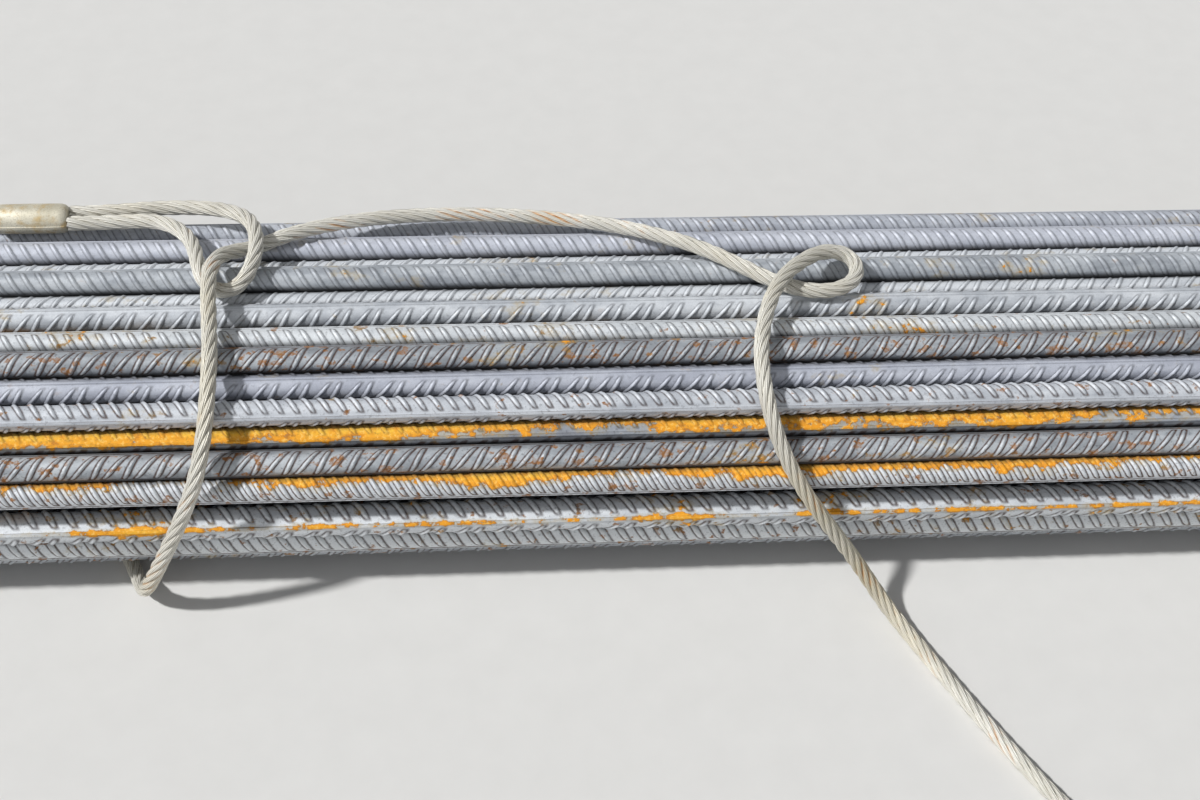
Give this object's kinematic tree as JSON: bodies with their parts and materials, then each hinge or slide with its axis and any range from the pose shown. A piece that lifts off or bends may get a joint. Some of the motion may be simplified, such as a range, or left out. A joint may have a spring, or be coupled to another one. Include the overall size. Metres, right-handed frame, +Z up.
{
  "type": "rebar bundle",
  "caption": "Bundle of straight ribbed steel reinforcing bars, tied with wire rod, with a wire-rope sling choked round its middle and its free eye laid out in front.",
  "frame": {"origin": "on the floor, under the middle of the bars", "axes": "+X along the bars, +Y to the back, +Z up; the sling's free end lies to the front"},
  "size_m": [6.018, 0.6365, 0.1788],
  "materials": {
    "bar_steel": "hot-rolled, mill scale with rust",
    "tie_wire": "hot-rolled wire rod with light rust",
    "rope_steel": "bright wire rope, dusty",
    "ferrule_alloy": "pressed, dull"
  },
  "bodies": {
    "root": {"bars_layer_01": "bar_steel", "bars_layer_02": "bar_steel", "bars_layer_03": "bar_steel", "bars_layer_04": "bar_steel", "bars_layer_05": "bar_steel", "bars_layer_06": "bar_steel", "bars_layer_07": "bar_steel", "bars_layer_08": "bar_steel", "bars_layer_09": "bar_steel", "bars_layer_10": "bar_steel", "wire_tie_1": "tie_wire", "wire_tie_2": "tie_wire", "wire_tie_3": "tie_wire", "wire_tie_4": "tie_wire", "sling_rope": "rope_steel", "choke_eye": "rope_steel", "lifting_eye": "rope_steel", "choke_ferrule": "ferrule_alloy", "lifting_ferrule": "ferrule_alloy"}
  },
  "joints": []
}
